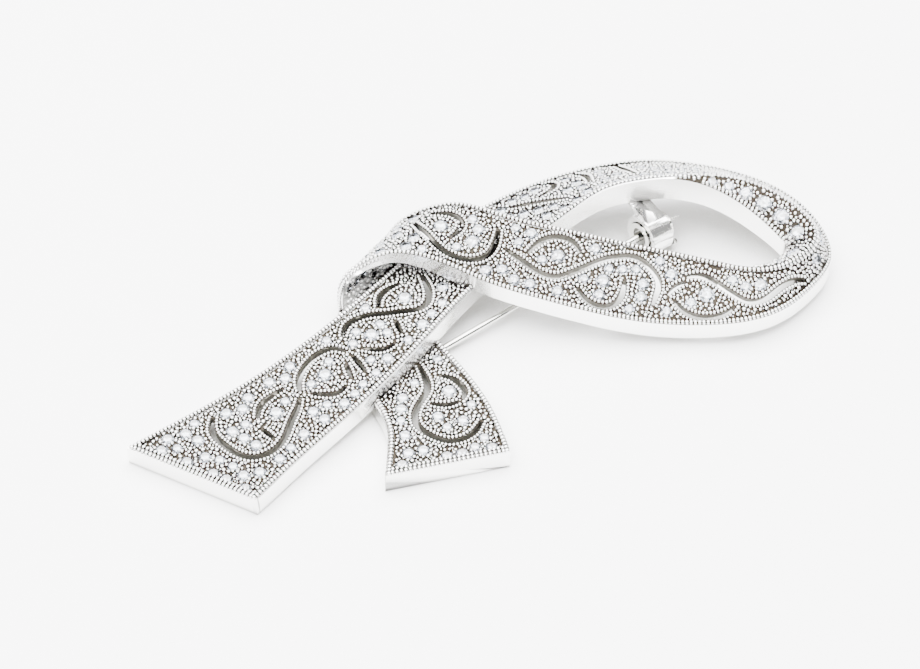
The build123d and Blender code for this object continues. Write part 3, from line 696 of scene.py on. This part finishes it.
# Stones
# Round brilliant melee, each dropped in its drilled seat and held by grains raised from the
# plate; table, star, kite and girdle facets above, the pavilion facets meeting in a point below.
# radius, height, corners, first corner in degrees, all for a girdle one millimetre across
ROUNDS = [
    (0.29, 0.165, 8, 22.5),
    (0.40, 0.105, 8, 0.0),
    (0.50, 0.022, 16, 0.0),
    (0.50, 0.000, 16, 0.0),
]
CULET = (0.0, 0.0, -0.43)
crown = []
for radius, height, corners, first in ROUNDS:
    for i in range(corners):
        a = math.radians(360 / corners * i + first)
        crown.append((radius * math.cos(a), radius * math.sin(a), height))
crown.append(CULET)
stone_points = np.array(crown)
stone_faces = [tuple(range(8))]
for i in range(8):
    j = (i + 1) % 8
    stone_faces.append((8 + j, j, i))
    stone_faces.append((8 + i, 16 + 2 * i, 16 + 2 * i + 1))
    stone_faces.append((16 + 2 * i + 1, i, 8 + i))
    stone_faces.append((16 + 2 * i + 1, 16 + (2 * i + 2) % 16, 8 + j))
    stone_faces.append((16 + 2 * i + 1, 8 + j, i))
for i in range(16):
    j = (i + 1) % 16
    stone_faces.append((32 + i, 32 + j, 16 + j, 16 + i))
    stone_faces.append((48, 32 + j, 32 + i))
diamond = bpy.data.materials.new("melee_stone")
diamond.use_nodes = True
cut = diamond.node_tree.nodes["Principled BSDF"]
cut.inputs["Base Color"].default_value = (0.72, 0.77, 0.86, 1)
cut.inputs["Roughness"].default_value = 0.0
cut.inputs["IOR"].default_value = 2.4
cut.inputs["Transmission Weight"].default_value = 1.0


def loose_stones(mesh):
    """The corners of each stone of a field, in millimetres."""
    mates = list(range(len(mesh.vertices)))

    def root(i):
        while mates[i] != i:
            mates[i] = mates[mates[i]]
            i = mates[i]
        return i

    for edge in mesh.edges:
        a, b = root(edge.vertices[0]), root(edge.vertices[1])
        mates[a] = b
    groups = {}
    for i, vertex in enumerate(mesh.vertices):
        groups.setdefault(root(i), []).append(np.array(vertex.co) / MM)
    return [np.array(group) for group in groups.values()]


stone_rows = []
for node in [n for n in nodes if n.startswith("stones_")]:
    blank = merged_copy(node)
    blank.select_set(False)
    spots = []
    for cloud in loose_stones(blank.data):
        order = np.argsort(np.linalg.norm(cloud - cloud.mean(axis=0), axis=1))
        table = cloud[order[:8]]
        top = table.mean(axis=0)
        way = np.linalg.svd(table - top)[2][2]
        depth = (cloud - top) @ way
        deepest = int(np.abs(depth).argmax())
        girdle = cloud[[i for i in order[8:] if i != deepest]]
        way = way * -np.sign(depth[deepest])
        centre = girdle.mean(axis=0)
        size = 2 * np.linalg.norm(girdle - centre, axis=1).max()
        spots.append((centre, way, table[0] - top, (size, size, size)))
        stone_rows.append((centre, way, table[0] - top, size))
    bpy.data.objects.remove(blank)
    piece = joined("cut_" + node, spots, stone_points, stone_faces, diamond, smooth=False)
    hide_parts(node)

# Grains
# Between the stones the plate is worked up with a graver into small round grains: four are
# pushed over the girdle of each stone to hold it, and the rest fill the field at random.
grain_points, grain_faces = round_blank(6, 4)
GRAIN = 0.50
FINE_GRAIN = 0.34
LEAST_GRAIN = 0.24
PRONG = 0.42
GRAIN_REACH = 0.40      # how much of its width a grain keeps to itself
PRONG_REACH = 0.13      # room a prong needs among its neighbours
BEAD_REACH = 0.15       # room a bead of the scrolls keeps to itself
PRONG_OUT = 0.07        # how far outside the girdle a prong stands
PRONG_RISE = 0.05       # how high its middle is over the girdle
STONES_APART = 0.02     # least gap that takes a prong between two stones
GIRDLE_LAP = 0.10       # how far a grain may lie over a girdle
OVERHANG = 0.04         # how far a grain may stand over a cut
SOWN_PER_MM2 = 35       # tries at a grain on each square millimetre
BAND_SPREAD = 1.8       # half the width that is tried on the band
BAND_CLEAR = 0.36       # bare edge of the band
HOLLOW_CLEAR = 0.8      # bare edge of the hollow
chance = np.random.default_rng(11)
stone_places = np.array([centre for centre, way, run, size in stone_rows])
stone_reach = np.array([size / 2 for centre, way, run, size in stone_rows])
stone_tree = KDTree(len(stone_rows))
for i, spot in enumerate(stone_places):
    stone_tree.insert(spot, i)
stone_tree.balance()
CELL = 0.5
STEPS = (-1, 0, 1)
cells = {}
grain_spots = []


def cell(spot):
    """The little cube of space that a spot lies in."""
    return tuple(int(math.floor(v / CELL)) for v in spot)


def crowded(spot, room):
    """Whether a grain already lies nearer than this room and its own."""
    x, y, z = cell(spot)
    for key in [(x + i, y + j, z + k) for i in STEPS for j in STEPS for k in STEPS]:
        for other, wide in cells.get(key, ()):
            if math.dist(other, spot) < room + wide:
                return True
    return False


def over_cut(spot, room):
    """Whether a grain of this half width would stand over a pierced scroll."""
    _, i, far = cut_tree.find(spot * MM)
    return far / MM < cut_halves[i] + room


def from_stones(spot):
    """Distances to the girdles of the nearest stones."""
    return sorted(far - stone_reach[i] for _, i, far in stone_tree.find_n(spot, 3))


for spot, way, ahead, sizes in scroll_spots:
    cells.setdefault(cell(spot), []).append((spot, BEAD_REACH))
for centre, way, run, size in stone_rows:
    across = np.cross(way, run / np.linalg.norm(run))
    first = chance.uniform(0, 90)
    for quarter in range(4):
        turn = math.radians(first + 90 * quarter + chance.uniform(-10, 10))
        aim = math.cos(turn) * run / np.linalg.norm(run) + math.sin(turn) * across
        spot = centre + (size / 2 + PRONG_OUT) * aim + PRONG_RISE * way
        if over_cut(spot, PRONG / 2 - OVERHANG) or crowded(spot, PRONG_REACH):
            continue
        if from_stones(spot)[1] < STONES_APART:
            continue
        cells.setdefault(cell(spot), []).append((spot, PRONG * GRAIN_REACH))
        width = PRONG * chance.uniform(0.9, 1.1)
        grain_spots.append((spot, way, aim, (width, width, width)))


def sown(table_strip, first, last, place, room, cover=None, grain=GRAIN, spread=0.9 * RIBBON):
    """Grains dropped at random over a length of the strip wherever one still fits."""
    start = table_strip.length_at(first)
    end = table_strip.length_at(last)
    tries = int((end - start) * spread * 2 * SOWN_PER_MM2)
    widths = table_strip.rows[:, 3] / 2
    for length, share in zip(chance.uniform(start, end, tries), chance.uniform(-1, 1, tries)):
        offset = share * spread
        if abs(offset) > np.interp(length, table_strip.knots, widths):
            continue
        k = table_strip.station_at(length)
        row, right, up, across, normal = table_strip.at(k)
        wide = room(row)
        if wide is None or abs(offset) > wide:
            continue
        spot, way = place(row, right, up, across, normal, offset)
        if crowded(spot, grain * GRAIN_REACH):
            continue
        if from_stones(spot)[0] < grain / 2 - GIRDLE_LAP:
            continue
        if over_cut(spot, grain / 2 - OVERHANG):
            continue
        if cover is not None and under(spot, cover):
            continue
        cells.setdefault(cell(spot), []).append((spot, grain * GRAIN_REACH))
        width = grain * chance.uniform(0.85, 1.12)
        grain_spots.append((spot, way, across, (width, width, width * 0.9)))


def on_field(row, right, up, across, normal, offset):
    return row[:3] + offset * across + (EDGE_LIFT - LIP) * normal, normal


def on_band(row, right, up, across, normal, offset):
    way, out = band_ways(right, up)
    down = row[8] / 2 + offset - EDGE_BEVEL
    return row[:3] + row[3] / 2 * across + down * way + EDGE_LIFT * out, out


def in_hollow(row, right, up, across, normal, offset):
    return row[:3] + offset * across - (hollow_depth(row) + 0.02) * normal, -normal


def field_room(row):
    return row[3] / 2 - RIM - GRAIN / 2 + 0.06


def band_room(row):
    return max(0.12, row[8] / 2 - BAND_CLEAR) if row[8] > BAND_LEAST else None


def hollow_room(row):
    return row[3] / 2 - HOLLOW_CLEAR


def sow_face(grain, band_last):
    """One size of grain over the whole face: both lengths of the strip, the tail and the band."""
    sown(strip, 0.11, 5.6, on_field, field_room, cover_knot, grain)
    sown(strip, 5.6, 24.0, on_field, field_room, None, grain)
    sown(tail, 0.4, 4.88, on_field, field_room, cover_tail, grain)
    sown(strip, 8.6, band_last, on_band, band_room, None, grain, BAND_SPREAD)


for grain in (GRAIN, FINE_GRAIN):
    sow_face(grain, 13.8)
grains = joined("setting_grains", grain_spots, grain_points, grain_faces, beaded)
grain_spots = []
sow_face(LEAST_GRAIN, 9.4)
small_grains = joined("setting_grains_fine", grain_spots, grain_points, grain_faces, beaded)
grain_spots = []
sown(strip, 21.2, 23.8, in_hollow, hollow_room)
satin = metal("grain_satin", (0.96, 0.955, 0.945, 1), 0.30, 0.15, 0.8)
fold_grains = joined("fold_grains", grain_spots, grain_points, grain_faces, satin)

# Pin stem, rivet and lock
# Hard white-gold wire on a riveted knuckle, and the turning lock of the catch with its thumb tab,
# all bought in as findings, soldered on or riveted, and buffed bright.
# The findings' tone is darker than the casting's: painted reflection of dark surroundings
findings = metal("findings_polish", (0.74, 0.735, 0.70, 1), 0.14, 0.6, 1.2)
for name, node, carrier in (
        ("pin_wire", "pin_stem", "pin"), ("pin_rivet", "hinge_rivet", "brooch"),
        ("catch_lock", "catch_roller", "lock")):
    cast_copy(name, node, findings, carrier)
